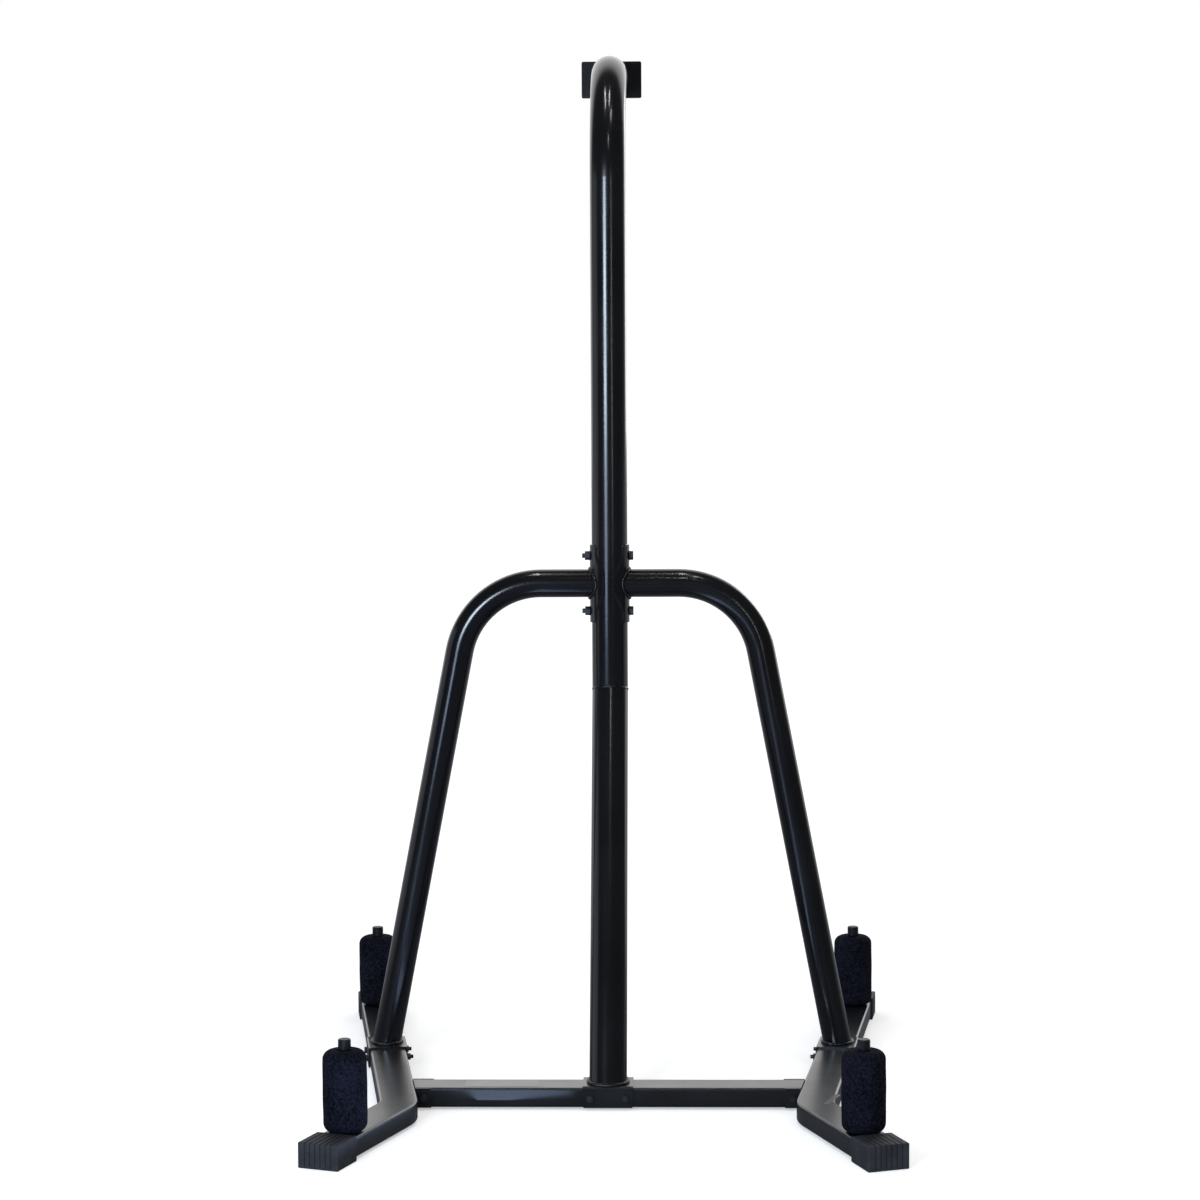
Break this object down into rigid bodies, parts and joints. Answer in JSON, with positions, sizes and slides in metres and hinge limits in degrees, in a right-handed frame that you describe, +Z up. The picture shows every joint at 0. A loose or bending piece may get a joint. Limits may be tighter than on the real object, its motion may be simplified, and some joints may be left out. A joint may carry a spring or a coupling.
{
  "type": "heavy bag stand",
  "caption": "Free-standing gooseneck stand for a hanging punch bag: bent floor rails, cross tube, braced mast, plate pegs with foam sleeves.",
  "frame": {"origin": "centre of the bounding box at floor level", "axes": "+Z up, +Y the way the boom reaches, +X to the right seen from behind the mast"},
  "size_m": [1.2024, 1.3692, 2.1857],
  "materials": {
    "frame_paint": "gloss black powder coat",
    "coupler_paint": "satin black powder coat",
    "peg_plastic": "moulded black",
    "fastener_zinc": "black zinc",
    "hanger_steel": "zinc plated",
    "cap_rubber": "moulded, matt dark grey",
    "foam": "fine-celled navy-black foam"
  },
  "bodies": {
    "stand": {"boom_end_plate": "frame_paint", "cross_tube": "frame_paint", "cross_tube_bolts": "fastener_zinc", "cross_tube_nuts": "fastener_zinc", "hanger_bolt": "hanger_steel", "hanger_nut": "hanger_steel", "hanger_sleeve": "frame_paint", "hanger_washer": "hanger_steel", "left_brace_foot_bolts": "fastener_zinc", "left_brace_foot_nuts": "fastener_zinc", "left_brace_foot_saddle": "frame_paint", "left_brace_tube": "frame_paint", "left_front_foot_cap": "cap_rubber", "left_front_peg": "frame_paint", "left_leg_rail": "frame_paint", "left_mast_clamp_plate": "frame_paint", "left_rail_bracket": "frame_paint", "left_rear_foot_cap": "cap_rubber", "left_rear_peg": "frame_paint", "lower_post": "frame_paint", "mast_base_weld": "frame_paint", "mast_bolt_nuts": "fastener_zinc", "mast_bolt_washers": "fastener_zinc", "mast_bolts": "fastener_zinc", "mast_foot_bolts": "fastener_zinc", "mast_foot_nuts": "fastener_zinc", "mast_foot_saddle": "frame_paint", "mast_mitre_bead": "frame_paint", "mast_socket": "frame_paint", "mast_spigot": "coupler_paint", "peg_caps": "peg_plastic", "right_brace_foot_bolts": "fastener_zinc", "right_brace_foot_nuts": "fastener_zinc", "right_brace_foot_saddle": "frame_paint", "right_brace_tube": "frame_paint", "right_front_foot_cap": "cap_rubber", "right_front_peg": "frame_paint", "right_leg_rail": "frame_paint", "right_mast_clamp_plate": "frame_paint", "right_rail_bracket": "frame_paint", "right_rear_foot_cap": "cap_rubber", "right_rear_peg": "frame_paint", "upper_mast": "frame_paint"},
    "swivel": {"swivel_yoke": "hanger_steel", "swivel_pin": "hanger_steel"},
    "bag_eye": {"bag_eye": "hanger_steel"},
    "left_front_foam": {"left_front_foam_sleeve": "foam"},
    "left_rear_foam": {"left_rear_foam_sleeve": "foam"},
    "right_front_foam": {"right_front_foam_sleeve": "foam"},
    "right_rear_foam": {"right_rear_foam_sleeve": "foam"}
  },
  "joints": [
    {"name": "left_front_sleeve_lift", "type": "slide", "parent": "stand", "child": "left_front_foam", "axis": [0, 0, 1], "range_m": [0, 0.2]},
    {"name": "left_rear_sleeve_lift", "type": "slide", "parent": "stand", "child": "left_rear_foam", "axis": [0, 0, 1], "range_m": [0, 0.2]},
    {"name": "right_front_sleeve_lift", "type": "slide", "parent": "stand", "child": "right_front_foam", "axis": [0, 0, 1], "range_m": [0, 0.2]},
    {"name": "right_rear_sleeve_lift", "type": "slide", "parent": "stand", "child": "right_rear_foam", "axis": [0, 0, 1], "range_m": [0, 0.2]},
    {"name": "hanger_swivel", "type": "hinge", "parent": "stand", "child": "swivel", "pos_m": [0, 0.57457, 2.09721], "axis": [0, 0, 1], "continuous": true},
    {"name": "eye_swing", "type": "hinge", "parent": "swivel", "child": "bag_eye", "pos_m": [0, 0.57457, 2.05821], "axis": [1, 0, 0], "range_deg": [-75, 75]}
  ]
}
